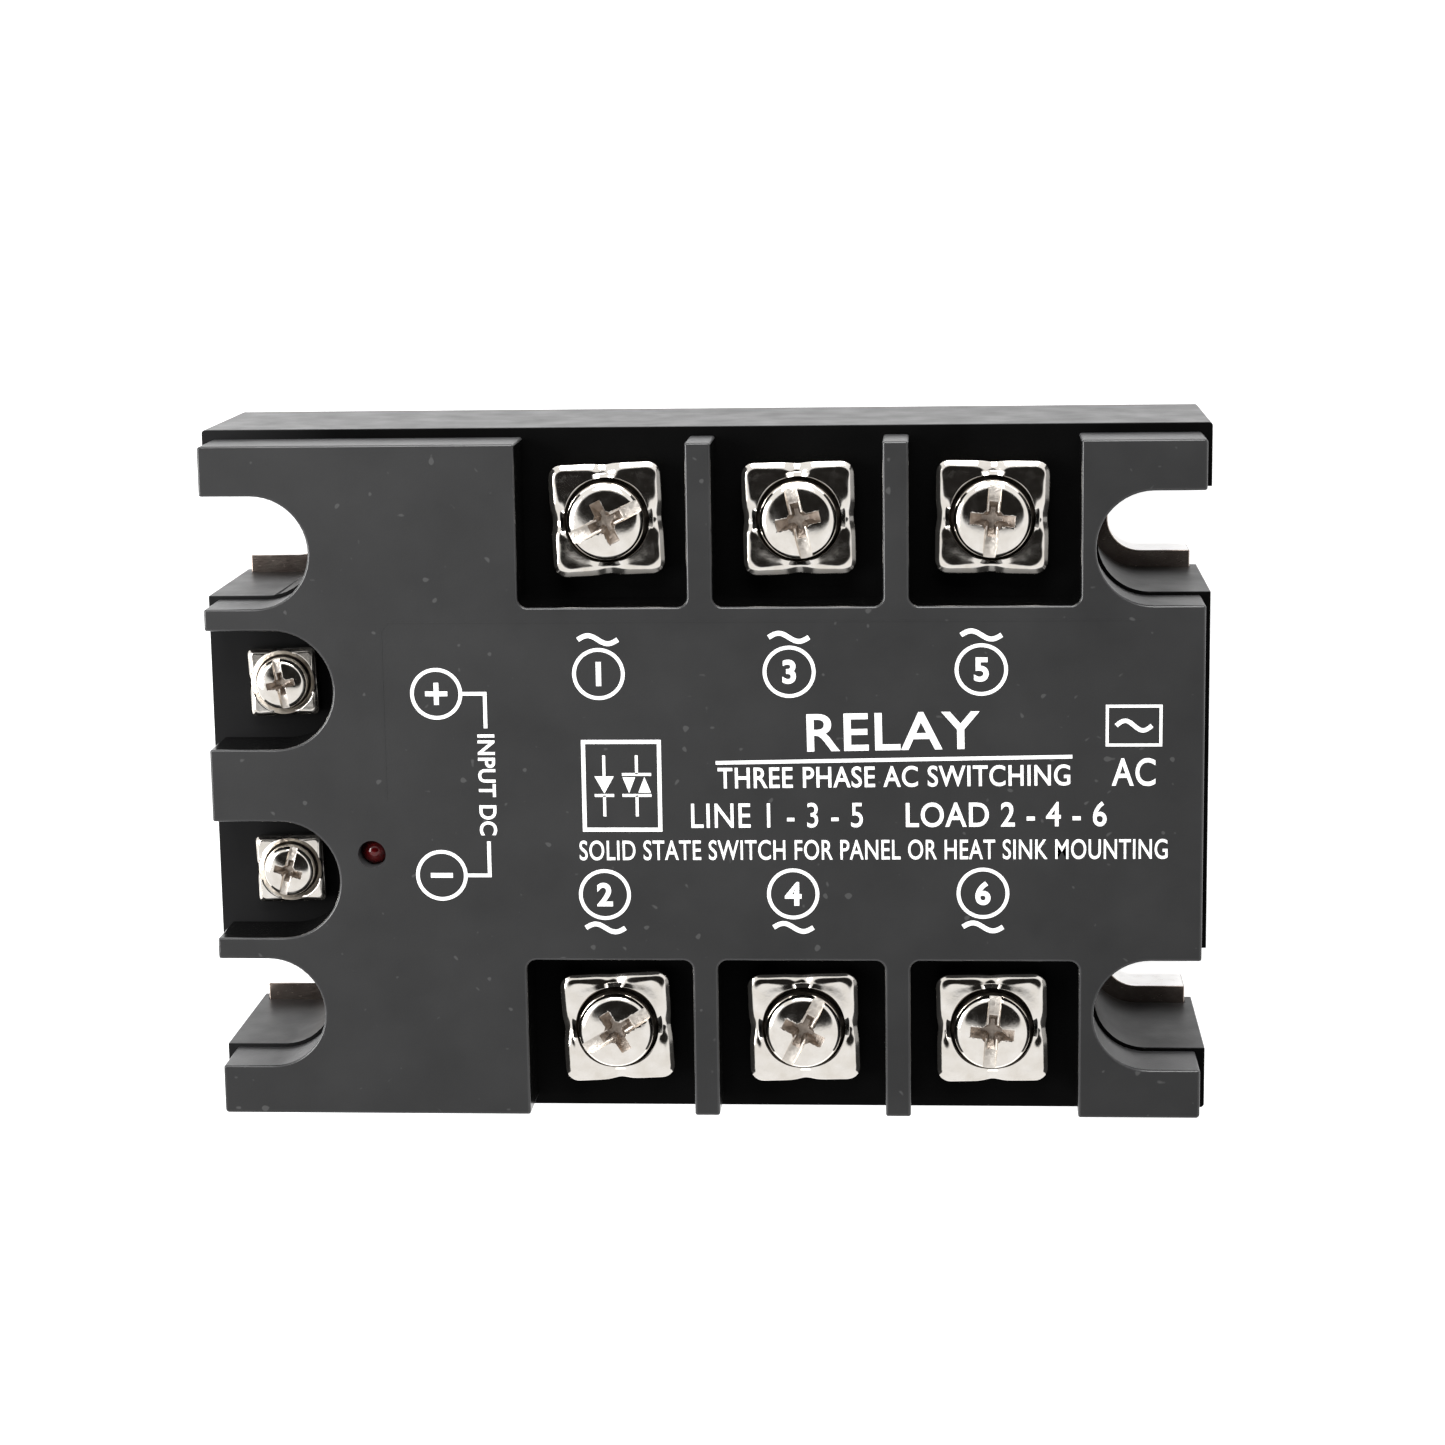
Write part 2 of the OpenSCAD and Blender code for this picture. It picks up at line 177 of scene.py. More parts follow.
def gloss(material, value, low, high):
    """Varies the roughness between two values with a noise value."""
    tree = material.node_tree
    ramp = tree.nodes.new("ShaderNodeMapRange")
    ramp.inputs["From Min"].default_value = NOISE_RANGE[0]
    ramp.inputs["From Max"].default_value = NOISE_RANGE[1]
    ramp.inputs["To Min"].default_value = low
    ramp.inputs["To Max"].default_value = high
    tree.links.new(value, ramp.inputs["Value"])
    tree.links.new(ramp.outputs["Result"], tree.nodes["Principled BSDF"].inputs["Roughness"])


def tint(material, value, dark, light):
    """Varies the colour between two tones with a noise value."""
    tree = material.node_tree
    ramp = tree.nodes.new("ShaderNodeValToRGB")
    for element, position, tone in zip(ramp.color_ramp.elements, NOISE_RANGE, (dark, light)):
        element.position = position
        element.color = (*tone, 1)
    tree.links.new(value, ramp.inputs["Fac"])
    tree.links.new(ramp.outputs["Color"], tree.nodes["Principled BSDF"].inputs["Base Color"])


def bump(material, value, height_mm):
    """Relief of this height from a noise value."""
    tree = material.node_tree
    node = tree.nodes.new("ShaderNodeBump")
    node.inputs["Distance"].default_value = height_mm * MM
    tree.links.new(value, node.inputs["Height"])
    tree.links.new(node.outputs["Normal"], tree.nodes["Principled BSDF"].inputs["Normal"])


def recolour(material, value, start, end, tone):
    """Turns the colour already there into a tone as a value goes from start to end."""
    tree = material.node_tree
    target = tree.nodes["Principled BSDF"].inputs["Base Color"]
    share = tree.nodes.new("ShaderNodeMapRange")
    share.inputs["From Min"].default_value = start
    share.inputs["From Max"].default_value = end
    mix = tree.nodes.new("ShaderNodeMix")
    mix.data_type = "RGBA"
    mix.inputs["B"].default_value = (*tone, 1)
    tree.links.new(value, share.inputs["Value"])
    tree.links.new(share.outputs["Result"], mix.inputs["Factor"])
    tree.links.new(target.links[0].from_socket, mix.inputs["A"])
    tree.links.new(mix.outputs["Result"], target)


def plastic(name, dark, light, roughness, grain_mm, relief_mm, specular=0.5, uneven=0.05):
    """Moulded plastic: fine spark-eroded relief, faint cloudy tone and uneven gloss."""
    material = new_material(name, light, roughness, specular=specular)
    tint(material, grain(material, 9, 5), dark, light)
    gloss(material, grain(material, 4, 4), roughness - uneven, roughness + uneven)
    bump(material, grain(material, grain_mm, 2), relief_mm)
    return material


def metal(name, dark, light, roughness, relief_mm=0.004, stretch=(1, 1, 1), grain_mm=0.5):
    """Plated or bare metal with cloudy tone, fine scratches and uneven gloss."""
    material = new_material(name, light, roughness, metallic=1)
    tint(material, grain(material, 1.6, 4), dark, light)
    gloss(material, grain(material, 0.8, 4, stretch), 0.7 * roughness, 1.4 * roughness)
    bump(material, grain(material, grain_mm, 3, stretch), relief_mm)
    return material


# ---------- materials ----------

def cover_plastic():
    """Textured front of the cover, with sparse light dust."""
    material = plastic(
        "cover_plastic", (0.0105, 0.0105, 0.0108), (0.0155, 0.0155, 0.0158), 0.55, 0.16, 0.01,
        specular=0.31,
    )
    recolour(material, grain(material, 1.1, 0), 0.80, 0.84, (0.04, 0.04, 0.04))
    return material


def lit_cover_wall():
    """Outer walls of the cover, with a coarse grain, painted lighter than the front as the light
    they catch.
    """
    return plastic(
        "lit_cover_wall", (0.030, 0.030, 0.031), (0.055, 0.055, 0.056), 0.42, 0.22, 0.02, uneven=0.04,
    )


def shaded_pocket_wall():
    """Walls of the terminal pockets, smooth, and painted black as the shade inside the pockets."""
    return plastic(
        "shaded_pocket_wall", (0.001, 0.001, 0.001), (0.002, 0.002, 0.002), 0.2, 0.3, 0.001, 0.3, 0.02,
    )


def cover_edge_highlight():
    """Rounded edges of the cover, painted a little lighter as a highlight."""
    return plastic(
        "cover_edge_highlight", (0.020, 0.020, 0.0205), (0.032, 0.032, 0.0325), 0.24, 0.25, 0.003,
    )


def housing_plastic():
    return plastic(
        "housing_plastic", (0.016, 0.016, 0.0164), (0.030, 0.030, 0.0305), 0.40, 0.25, 0.01, 0.22,
    )


def shaded_housing_deck():
    """Upper faces of the housing, painted black as shade, and painted a little greyer towards the
    open input pockets, where more light falls.
    """
    material = plastic(
        "shaded_housing_deck", (0.0006, 0.0006, 0.0006), (0.0014, 0.0014, 0.0014), 0.5, 0.2, 0.006, 0.04,
    )
    tree = material.node_tree
    place = tree.nodes.new("ShaderNodeTexCoord")
    axes = tree.nodes.new("ShaderNodeSeparateXYZ")
    tree.links.new(place.outputs["Object"], axes.inputs["Vector"])
    # Painted light: greyer towards the open left end, where more light falls.
    recolour(material, axes.outputs["X"], -38 * MM, -48 * MM, (0.010, 0.010, 0.0103))
    return material


def print_ink():
    material = new_material("print_ink", (0.86, 0.86, 0.85), 0.6, specular=0.2)
    tint(material, grain(material, 0.25, 3), (0.74, 0.74, 0.73), (0.90, 0.90, 0.89))
    bump(material, grain(material, 0.15, 2), 0.004)
    return material


def base_metal():
    return metal("base_metal", (0.30, 0.24, 0.21), (0.40, 0.34, 0.30), 0.2, 0.0008, (1, 8, 8), 1.0)


def bright_nickel(name):
    return metal(name, (0.82, 0.77, 0.70), (0.95, 0.91, 0.86), 0.09, 0.005, grain_mm=0.7)


def punched_nickel():
    """Rough floor and walls of the drive slot, painted a little darker than the plating as shade in
    the slot.
    """
    return metal("punched_nickel", (0.60, 0.54, 0.48), (0.90, 0.86, 0.80), 0.4, 0.07, grain_mm=0.35)


def shaded_recess_nickel():
    """Cross recess, painted brown and dark as the shade deep in the recess."""
    return metal(
        "shaded_recess_nickel", (0.20, 0.165, 0.135), (0.58, 0.51, 0.45), 0.42, 0.08, grain_mm=0.35,
    )


def shaded_nickel():
    """Cup under the screw head and upright wall of the power heads, painted dark as the shade in
    the gaps round the head.
    """
    return metal("shaded_nickel", (0.035, 0.03, 0.025), (0.10, 0.085, 0.07), 0.45, 0.01)


def lens_red():
    material = new_material("led_lens", (0.35, 0.006, 0.008), 0.08)
    shader = material.node_tree.nodes["Principled BSDF"]
    shader.inputs["Transmission Weight"].default_value = 0.35
    shader.inputs["IOR"].default_value = 1.54
    tint(material, grain(material, 0.6, 2), (0.05, 0.001, 0.002), (0.15, 0.003, 0.004))
    bump(material, grain(material, 0.5, 2), 0.004)
    return material


def board_green():
    material = new_material("board", (0.02, 0.14, 0.06), 0.3)
    tint(material, grain(material, 0.7, 2), (0.012, 0.10, 0.04), (0.03, 0.18, 0.08))
    bump(material, grain(material, 0.4, 2), 0.01)
    return material


def simple(name, color, roughness, grain_mm=0.4, relief_mm=0.005):
    """Finish of a small inner piece: slight tone variation and relief."""
    material = new_material(name, color, roughness)
    dark = [0.8 * c for c in color]
    tint(material, grain(material, 1.2, 3), dark, color)
    gloss(material, grain(material, 0.9, 3), 0.85 * roughness, 1.15 * roughness)
    bump(material, grain(material, grain_mm, 2), relief_mm)
    return material


def slot_materials():
    """One material for each slot of the record."""
    return {
        "base_metal": base_metal(),
        "steel": metal("steel", (0.50, 0.50, 0.51), (0.62, 0.62, 0.63), 0.28),
        "housing_plastic": housing_plastic(),
        "cover_plastic": cover_plastic(),
        "tinned_brass": metal("tinned_brass", (0.62, 0.54, 0.36), (0.74, 0.66, 0.46), 0.3),
        "plated_steel": bright_nickel("plated_steel"),
        "screw_steel": bright_nickel("screw_steel"),
        "ceramic": simple("ceramic", (0.82, 0.80, 0.75), 0.5),
        "copper": metal("copper", (0.62, 0.34, 0.20), (0.76, 0.44, 0.28), 0.3),
        "silicon": simple("silicon", (0.22, 0.24, 0.27), 0.2),
        "coupler_plastic": simple("coupler_plastic", (0.78, 0.76, 0.70), 0.5),
        "capacitor_plastic": simple("capacitor_plastic", (0.04, 0.13, 0.46), 0.25),
        "resistor_coat": simple("resistor_coat", (0.33, 0.38, 0.28), 0.45),
        "chip_resistor": simple("chip_resistor", (0.02, 0.02, 0.02), 0.4),
        "board": board_green(),
        "nylon": simple("nylon", (0.70, 0.66, 0.55), 0.45),
        "component_plastic": simple("component_plastic", (0.02, 0.02, 0.022), 0.5),
        "led_lens": lens_red(),
        "potting": simple("potting", (0.05, 0.042, 0.036), 0.35, grain_mm=3, relief_mm=0.05),
    }


# ---------- moulded shells and base plate ----------

def paint(mesh, materials, pick):
    """Gives the mesh these materials, and each face the one that pick chooses."""
    for material in materials:
        mesh.materials.append(material)
    for face in mesh.polygons:
        face.material_index = pick(face)


def softened_copy(node, chosen, width_mm):
    """The node's own shape with the chosen sharp edges rounded, standing for the node."""
    bm = bmesh.new()
    bm.from_mesh(frame["nodes"][node].data)
    bmesh.ops.remove_doubles(bm, verts=bm.verts, dist=0.002 * MM)
    bmesh.ops.dissolve_limit(bm, angle_limit=math.radians(0.5), verts=bm.verts, edges=bm.edges)
    edges = [
        e for e in bm.edges
        if len(e.link_faces) == 2 and e.calc_face_angle() > math.radians(30) and chosen(e)
    ]
    bmesh.ops.bevel(
        bm, geom=edges, offset=width_mm * MM, offset_type="OFFSET", segments=3,
        profile=0.5, affect="EDGES", clamp_overlap=True,
    )
    piece = add_piece(node + "_shell", to_mesh(bm, node + "_shell"))
    shade(piece.data)
    weight_normals(piece)
    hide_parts(node)
    return piece


def both_ends(test):
    """An edge test from a test on its two end points."""
    return lambda e: all(test(v.co) for v in e.verts)


TOLERANCE = 0.02 * MM    # for points that lie on a face of the casing


def front_cover(materials):
    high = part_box("front_cover")[1]
    lamp = node_centre("indicator_led")
    lamp_clear = 2.5 * MM                           # round the lamp's hole, which stays sharp
    ledge_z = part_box("housing")[1].z
    middle_x = node_centre("terminal_screw_3").x
    power_reach = 29.5 * MM                         # half the length of a row of power pockets
    input_x, input_reach = -37.5 * MM, 17.8 * MM    # inner end and half width of the input side
    at_front = both_ends(lambda p: p.z > high.z - TOLERANCE)
    on_wall = both_ends(lambda p: p.z > ledge_z - TOLERANCE)

    def chosen(e):
        upright = abs(e.verts[0].co.z - e.verts[1].co.z) > 5 * MM
        if (e.verts[0].co.xy - lamp.xy).length < lamp_clear:
            return False
        return at_front(e) or (upright and on_wall(e) and e.is_convex)

    def pick(face):
        """The place in the list of materials: front, wall with painted light, edge with painted
        highlight, or pocket with painted shade.
        """
        if face.normal.z > 0.98:
            return 0
        if face.normal.z > 0.1:
            return 2
        at = face.center
        in_power = abs(at.x - middle_x) < power_reach and abs(at.y) < high.y - 0.5 * MM
        in_input = at.x < input_x and abs(at.y) < input_reach
        return 3 if in_power or in_input else 1

    piece = softened_copy("front_cover", chosen, 0.3)

    # Walls, edges and pockets are copies of the cover's plastic with light, highlight and shade
    # painted in.
    finishes = [materials["cover_plastic"], lit_cover_wall(), cover_edge_highlight(), shaded_pocket_wall()]
    paint(piece.data, finishes, pick)
    return finished(piece, materials["cover_plastic"], "root")


def housing(materials):
    low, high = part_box("housing")
    notch_depth, notch_y = 7 * MM, 17 * MM    # how far in, and from where on, the notches reach
    wall = 1.5 * MM

    def on_outline(p):
        level = p.z > high.z - TOLERANCE or p.z < low.z + TOLERANCE
        in_notch = abs(p.x) > high.x - notch_depth and abs(p.y) > notch_y
        return level and (in_notch or abs(p.x) > high.x - wall or abs(p.y) > high.y - wall)

    def chosen(e):
        return both_ends(on_outline)(e) and e.is_convex

    piece = softened_copy("housing", chosen, 0.2)
    # Upward faces take the deck plastic with painted shade.
    paint(
        piece.data, [materials["housing_plastic"], shaded_housing_deck()],
        lambda face: 1 if face.normal.z > 0.9 else 0,
    )
    return finished(piece, materials["housing_plastic"], "root")


def base_plate(materials):
    low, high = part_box("base_plate")
    flat = both_ends(lambda p: p.z > high.z - TOLERANCE or p.z < low.z + TOLERANCE)
    piece = softened_copy("base_plate", flat, 0.15)
    drawn = (1, 1, 8)
    # Slot walls painted bright as the light they catch.
    lit_slot_wall = metal(
        "lit_slot_wall", (0.74, 0.73, 0.72), (0.92, 0.91, 0.90), 0.2, 0.001, drawn, 1.0,
    )
    edge_metal = metal(
        "edge_metal", (0.34, 0.32, 0.30), (0.46, 0.44, 0.42), 0.32, 0.002, drawn, 1.0,
    )

    def pick(face):
        """The place in the list of materials: face, slot wall with painted light, or outer wall."""
        at = face.center
        if abs(face.normal.z) > 0.3:
            return 0
        outer = abs(at.x) > high.x - 0.6 * MM or abs(at.y) > high.y - 0.6 * MM
        return 2 if outer else 1

    paint(piece.data, [materials["base_metal"], lit_slot_wall, edge_metal], pick)
    return finished(piece, materials["base_metal"], "root")


# ---------- clamping plates ----------

def plate_outline(angle, half, corner, pinch):
    """Distance from the centre to the edge of a square with round corners, pinched at mid-side."""
    a = abs((angle + math.pi / 4) % (math.pi / 2) - math.pi / 4)
    reach = half / math.cos(a)
    straight = half - corner
    if half * math.tan(a) > straight:
        d = straight * (math.cos(a) + math.sin(a))
        reach = d + math.sqrt(max(corner ** 2 - 2 * straight ** 2 + d ** 2, 0))
    pinch_angle = 0.16
    return reach - pinch * math.exp(-((a / pinch_angle) ** 2))


CUP_STEPS = 5    # faces of a plate's section from its hole to the foot of the cup's wall


def plate_section(angle, width, thick, rim, hole, cup, corner, dish, flare):
    """Radius and height round one cut from the centre outwards, over the top and back below."""
    reach = plate_outline(angle, width / 2, corner, 0.014 * width)
    diagonal = math.sin(2 * angle) ** 2
    off_axis = min(abs(math.sin(angle)), abs(math.cos(angle)))
    crease_w = 0.095 * width
    edge_r = 0.14 * thick
    edge_at = reach - edge_r
    top = thick + rim
    lip = cup + flare
    roll = 1.1 * MM if width > 10 * MM else 0.5 * MM
    section = [(hole, 0.1 * thick), (hole, 0.93 * thick), (hole + 0.07 * thick, thick)]
    section += [(cup - 0.05 * MM, thick), (cup, thick + 0.1 * rim), (cup, thick + 0.35 * rim)]
    section += [(cup + 0.5 * flare, thick + 0.72 * rim), (cup + 0.9 * flare, thick + 0.97 * rim)]
    steps = 20
    for k in range(steps + 1):
        s = k / steps
        r = lip + s * (edge_at - lip)
        crease = 0.8 * rim * math.exp(-((off_axis * r / crease_w) ** 2)) * min(3 * s, 1)
        hollow = dish * diagonal ** 1.5 * math.sin(math.pi * s) ** 2
        fall = 0.6 * rim * max(0, 1 - (edge_at - r) / roll) ** 2.2
        section.append((r, top - crease - hollow - fall))
    end_z = section[-1][1]
    for k in range(1, 5):
        a = math.pi / 2 * (0.3 + 0.7 * k / 4)
        section.append((edge_at + edge_r * math.sin(a), end_z - edge_r + edge_r * math.cos(a)))
    section += [(reach, 0.2 * thick), (reach - 0.08 * thick, 0.06 * thick)]
    section += [(reach - 0.2 * thick, 0), (hole + 0.1 * thick, 0)]
    return section


def pressure_plate_mesh(name, **shape):
    """Stamped square plate: a flat cup for the head, and four lobes whose edges roll down."""
    cuts = 160
    bm = bmesh.new()
    rows = []
    for i in range(cuts):
        angle = 2 * math.pi * (i + 0.5) / cuts
        across = Vector((math.cos(angle), math.sin(angle), 0))
        section = plate_section(angle, **shape)
        rows.append([bm.verts.new(across * r + Vector((0, 0, z))) for r, z in section])
    for i in range(cuts):
        a, b = rows[i], rows[(i + 1) % cuts]
        for j in range(len(a)):
            k = (j + 1) % len(a)
            face = bm.faces.new((a[j], b[j], b[k], a[k]))
            # Painted shade: the hole and cup take the second, dark material.
            face.material_index = 1 if j < CUP_STEPS else 0
    mesh = to_mesh(bm, name)
    shade(mesh, 50)
    return mesh


def pressure_plates(materials):
    degrees = {"1": 2.3, "2": 2.9, "3": 1, "4": 1.5, "5": -1, "6": 1, "plus": 2, "minus": 1.5}
    rim = 0.45 * MM
    shaded = shaded_nickel()
    for names, corner, dish, flare in ((POWER, 1.4, 0.03, 0.2), (INPUT, 0.5, 0.0, 0.5)):
        low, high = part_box("pressure_plate_" + names[0])
        screw_low, screw_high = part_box("terminal_screw_" + names[0])
        head_r = (screw_high.x - screw_low.x) / 2
        mesh = pressure_plate_mesh(
            "pressure_plate_" + names[0], width=high.x - low.x, thick=high.z - low.z - rim,
            rim=rim, hole=0.52 * head_r, cup=head_r + 0.25 * MM, corner=corner * MM,
            dish=dish * MM, flare=flare * MM,
        )
        mesh.materials.append(materials["plated_steel"])
        mesh.materials.append(shaded)
        for name in names:
            at = node_centre("pressure_plate_" + name)
            piece = add_piece("clamp_plate_" + name, mesh)
            piece.location = (at.x, at.y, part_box("pressure_plate_" + name)[0].z)
            piece.rotation_euler.z = math.radians(degrees[name])
            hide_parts("pressure_plate_" + name)
            finished(piece, materials["plated_steel"], "clamp_" + name)


# ---------- screws ----------

def thread_rings(shank_r, length, thread_pitch):
    """Rings of a threaded shank that hangs below z = 0, with a narrower tip."""
    depth = 0.6 * thread_pitch
    rows_per_turn = 8
    rows = int(length / thread_pitch * rows_per_turn)
    chamfer = 0.8 * MM
    rings = []
    for row in range(rows + 1):
        z = -length + length * row / rows
        tip = 0.5 * max(0, chamfer - length - z)
        ring = []
        for j in range(HEAD_POINTS):
            angle = 2 * math.pi * j / HEAD_POINTS
            phase = (z / thread_pitch - j / HEAD_POINTS) % 1
            groove = depth * (1 - abs(2 * phase - 1)) if -z > 0.4 * thread_pitch else 0
            r = shank_r - groove - tip
            ring.append(Vector((r * math.cos(angle), r * math.sin(angle), z)))
        rings.append(ring)
    return rings


def head_rings(head_r, head_h, shank_r):
    """Rings of a screw head on z = 0: an upright wall, and a dome that is steep near the wall."""
    wall_h = WALL_SHARE * head_h
    edge = 0.12 * head_h
    dome = head_h - wall_h
    profile = [(shank_r + 0.02 * MM, 0), (head_r - edge, 0), (head_r, edge), (head_r, wall_h)]
    climb = [(1.0, 0.0)]
    steps = 20
    for k in range(1, steps + 1):
        u = 1 - 0.96 * (k / steps) ** 2
        middle = (u + climb[-1][0]) / 2
        slope = math.tan(math.radians(12 * middle + 72 * middle ** 12))
        climb.append((u, climb[-1][1] + (climb[-1][0] - u) * slope))
    profile += [(head_r * u, wall_h + dome * z / climb[-1][1]) for u, z in climb[1:]]
    return [round_ring(r, z, HEAD_POINTS) for r, z in profile]


def prism(bottom, top, z0, z1, name):
    """A closed solid between two flat outlines with equal numbers of points."""
    rings = [[Vector((x, y, z)) for x, y in line] for line, z in ((bottom, z0), (top, z1))]
    return skin(rings, name)


def cross_outline(arm, half):
    """Outline of a cross with arms of this length and half width."""
    quarter = [(arm, -half), (arm, half), (half, half)]
    points = []
    for k in range(4):
        turn = Matrix.Rotation(k * math.pi / 2, 2)
        points += [tuple(turn @ Vector(p)) for p in quarter]
    return points


def slot_outline(half_length, half):
    return [(-half_length, -half), (half_length, -half), (half_length, half), (-half_length, half)]


def drive_cutters(head_r, head_h, slot_w):
    """Solids that cut the drive into a head, all narrower at the bottom: slot, cross and pit."""
    above = head_h + 0.5 * MM
    slot_z = head_h - 0.34 * head_h
    cross_z = head_h - 0.8 * head_h
    pit_points = 20
    across = 1.5 * head_r
    slot = prism(
        slot_outline(across, 0.42 * slot_w), slot_outline(across, 0.56 * slot_w),
        slot_z, above, "slot",
    )
    cross = prism(
        cross_outline(0.28 * head_r, 0.17 * slot_w), cross_outline(0.68 * head_r, 0.5 * slot_w),
        cross_z, above, "cross",
    )
    pit = prism(
        circle(0.14 * head_r, pit_points), circle(0.34 * head_r, pit_points),
        cross_z, above, "pit",
    )
    return slot, cross, pit


def screw_mesh(name, rings, head_r, head_h, slot_w, plating, wall, slot_floor, recess):
    """A domed screw with a cross recess and a slot right across it."""
    screw = add_piece(name, skin(rings, name))

    def pick(face):
        # The upright wall takes the second material, which carries painted shade on the power
        # screws.
        on_wall = 0.05 * head_h < face.center.z < WALL_SHARE * head_h - 0.02 * MM
        return 1 if on_wall else 0

    paint(screw.data, [plating, wall], pick)
    cutters = drive_cutters(head_r, head_h, slot_w)
    tools = []
    for cutter, material in zip(cutters, (slot_floor, recess, recess)):
        cutter.materials.append(material)
        tool = add_piece("cutter", cutter)
        cut = screw.modifiers.new("cut", "BOOLEAN")
        cut.operation = "DIFFERENCE"
        cut.solver = "EXACT"
        cut.material_mode = "TRANSFER"
        cut.object = tool
        tools.append(tool)
    mesh = applied(screw)
    for tool in tools:
        bpy.data.objects.remove(tool)
    soft = screw.modifiers.new("soft", "BEVEL")
    soft.width = 0.035 * slot_w
    soft.segments = 2
    soft.limit_method = "ANGLE"
    soft.angle_limit = math.radians(42)
    mesh = applied(screw)
    bpy.data.objects.remove(screw)
    mesh.name = name
    shade(mesh, 40)
    return mesh


def terminal_screws(materials):
    slot_floor, recess = punched_nickel(), shaded_recess_nickel()
    plating = materials["screw_steel"]
    degrees = {"1": 26, "2": 31, "3": 103, "4": 63, "5": 85, "6": 85, "plus": 100, "minus": 75}
    for names, head_h, length, thread_pitch, shank_r, slot_w in (
        (POWER, 2.5, 9, 0.7, 1.96, 1.4), (INPUT, 1.9, 7, 0.5, 1.46, 0.9),
    ):
        low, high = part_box("terminal_screw_" + names[0])
        head_r = (high.x - low.x) / 2
        rings = thread_rings(shank_r * MM, length * MM, thread_pitch * MM)
        rings += head_rings(head_r, head_h * MM, shank_r * MM)
        # The power heads' upright wall gets painted shade; the input heads' wall stays plated.
        mesh = screw_mesh(
            "terminal_screw_mesh_" + names[0], rings, head_r, head_h * MM, slot_w * MM, plating,
            shaded_nickel() if names is POWER else plating, slot_floor, recess,
        )
        for name in names:
            node = "terminal_screw_" + name
            at = node_centre(node)
            piece = add_piece("screw_" + name, mesh)
            piece.location = (at.x, at.y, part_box(node)[0].z + length * MM)
            piece.rotation_euler.z = math.radians(degrees[name])
            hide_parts(node)
            finished(piece, plating, "screw_" + name)


# ---------- indicator ----------

def indicator(materials):
    low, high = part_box("indicator_led")
    centre = (low + high) / 2
    flange_r = (high.x - low.x) / 2
    body_r = flange_r - 0.4 * MM
    flange_h = 1 * MM
    flange_z = low.z + flange_h
    dome_z = high.z - body_r
    edge = 0.1 * MM
    profile = [(flange_r - edge, low.z), (flange_r, low.z + edge)]
    profile += [(flange_r, flange_z - edge), (flange_r - edge, flange_z)]
    profile += [(body_r, flange_z), (body_r, dome_z)]
    steps = 16
    for k in range(1, steps):
        a = math.pi / 2 * k / steps
        profile.append((body_r * math.cos(a), dome_z + body_r * math.sin(a)))
    rings = [round_ring(r, z, 48, centre.xy) for r, z in profile]
    piece = add_piece("indicator_lens", skin(rings, "indicator_lens"))
    shade(piece.data)
    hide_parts("indicator_led")
    finished(piece, materials["led_lens"], "root")


# ---------- printed marks ----------

